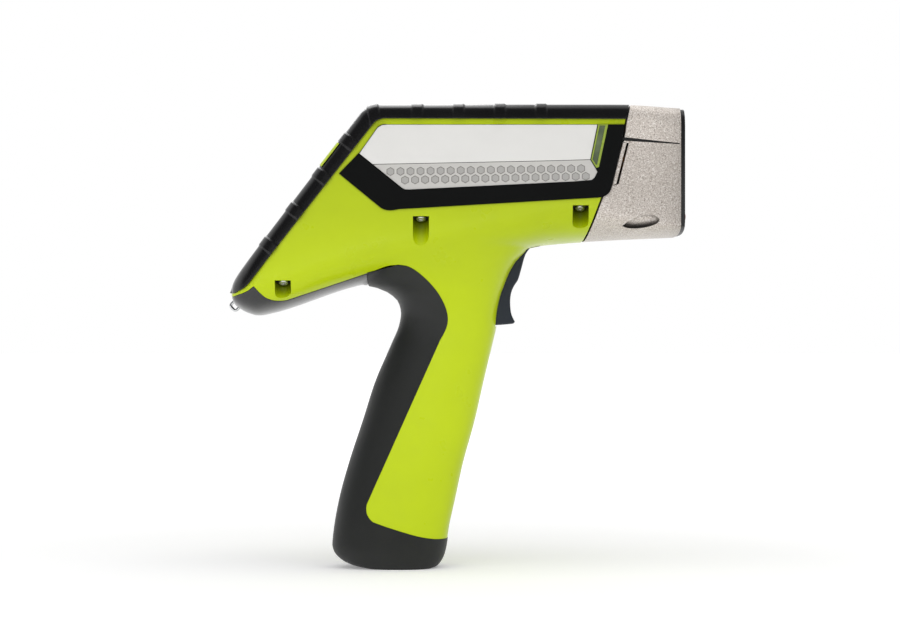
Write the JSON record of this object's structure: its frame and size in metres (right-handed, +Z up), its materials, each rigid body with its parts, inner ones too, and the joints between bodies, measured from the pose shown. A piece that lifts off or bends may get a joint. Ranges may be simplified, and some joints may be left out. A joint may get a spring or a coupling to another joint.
{
  "type": "handheld xrf analyzer",
  "caption": "Pistol-shaped X-ray fluorescence analyzer with a wedge body, cast measuring nose, slanted screen and keys, rubber bumper, trigger and battery grip.",
  "frame": {"origin": "centre of the flat foot under the grip", "axes": "+X towards the measuring nose, +Z up, Y across the body"},
  "size_m": [0.2646, 0.096, 0.265],
  "materials": {
    "lime_plastic": "satin",
    "bumper_rubber": "satin",
    "cover_plastic": "satin",
    "tail_plastic": "gloss",
    "grip_rubber": "matte",
    "band_plastic": "satin",
    "label_silver": "satin",
    "lens_green": "gloss",
    "panel_plastic": "satin",
    "screen_glass": "gloss",
    "display_steel": "satin",
    "key_grey": "matte",
    "key_red": "matte",
    "key_dark": "matte",
    "board_green": "satin",
    "nose_paint": "satin",
    "black_rubber": "matte",
    "plate_black": "matte",
    "bare_aluminium": "satin",
    "film_amber": "gloss",
    "button_brown": "satin",
    "spring_steel": "polished",
    "switch_black": "matte",
    "trigger_blue": "satin",
    "tube_copper": "satin",
    "supply_resin": "satin",
    "battery_shell": "matte",
    "cell_wrap": "satin",
    "contact_gold": "polished",
    "chrome_wire": "polished",
    "screw_steel": "satin"
  },
  "bodies": {
    "housing": {"housing_right": "lime_plastic", "housing_left": "lime_plastic", "bumper": "bumper_rubber", "top_cover": "cover_plastic", "tail_cover": "tail_plastic", "grip_overmould": "grip_rubber", "side_band_right": "band_plastic", "side_band_left": "band_plastic", "label_plate_right": "label_silver", "label_plate_left": "label_silver", "beacon_lens_right": "lens_green", "beacon_lens_left": "lens_green", "control_panel": "panel_plastic", "touch_screen": "screen_glass", "display_module": "display_steel", "key_board": "board_green", "nose_upper": "nose_paint", "nose_lower": "nose_paint", "nose_clip_right": "nose_paint", "nose_clip_left": "nose_paint", "front_gasket": "black_rubber", "front_plate": "plate_black", "window_frame": "bare_aluminium", "window_film": "film_amber", "interlock_spring": "spring_steel", "interlock_switch": "switch_black", "trigger_pin": "spring_steel", "trigger_spring": "spring_steel", "trigger_switch": "switch_black", "chassis": "bare_aluminium", "xray_tube": "tube_copper", "collimator": "bare_aluminium", "detector": "bare_aluminium", "hv_supply": "supply_resin", "heat_sink": "bare_aluminium", "main_board": "board_green", "processor_board": "board_green", "beacon_boards": "board_green", "speaker": "switch_black", "battery_case": "battery_shell", "battery_cells": "cell_wrap", "battery_contacts": "contact_gold", "strap_staple": "chrome_wire", "housing_screws": "screw_steel", "nose_screws": "screw_steel"},
    "trigger": {"trigger": "trigger_blue"},
    "interlock_button": {"interlock_button": "button_brown"},
    "power_key": {"power_key": "key_red"},
    "clear_key": {"clear_key": "key_grey"},
    "select_key": {"select_key": "key_grey"},
    "nav_post": {"nav_post": "key_dark"},
    "nav_ring": {"nav_ring": "key_dark"},
    "battery_door": {"battery_door": "cover_plastic"}
  },
  "joints": [
    {"name": "trigger_pull", "type": "hinge", "parent": "housing", "child": "trigger", "pos_m": [0.079, 0, 0.189], "axis": [0, 1, 0], "range_deg": [0, 6], "stiffness_Nm_per_rad": 0.8, "springref_deg": -6.88, "deforming": ["trigger_spring"]},
    {"name": "interlock_press", "type": "slide", "parent": "housing", "child": "interlock_button", "axis": [-1, 0, 0], "range_m": [0, 0.003], "stiffness_N_per_m": 400, "springref_m": -0.001, "deforming": ["interlock_spring"]},
    {"name": "power_key_press", "type": "slide", "parent": "housing", "child": "power_key", "axis": [0.7912, 0, -0.6115], "range_m": [0, 0.0008], "stiffness_N_per_m": 900, "springref_m": -0.0004},
    {"name": "clear_key_press", "type": "slide", "parent": "housing", "child": "clear_key", "axis": [0.7912, 0, -0.6115], "range_m": [0, 0.0008], "stiffness_N_per_m": 900, "springref_m": -0.0004},
    {"name": "select_key_press", "type": "slide", "parent": "housing", "child": "select_key", "axis": [0.7912, 0, -0.6115], "range_m": [0, 0.0008], "stiffness_N_per_m": 900, "springref_m": -0.0004},
    {"name": "nav_up_down", "type": "hinge", "parent": "housing", "child": "nav_post", "pos_m": [-0.07037, 0, 0.18379], "axis": [0, 1, 0], "range_deg": [-2, 2], "stiffness_Nm_per_rad": 0.15},
    {"name": "nav_left_right", "type": "hinge", "parent": "nav_post", "child": "nav_ring", "pos_m": [-0.07037, 0, 0.18379], "axis": [0.6115, 0, 0.7912], "range_deg": [-2, 2], "stiffness_Nm_per_rad": 0.15},
    {"name": "battery_door_open", "type": "hinge", "parent": "housing", "child": "battery_door", "pos_m": [0.01633, 0, 0.00213], "axis": [0, -1, 0], "range_deg": [0, 95]}
  ]
}
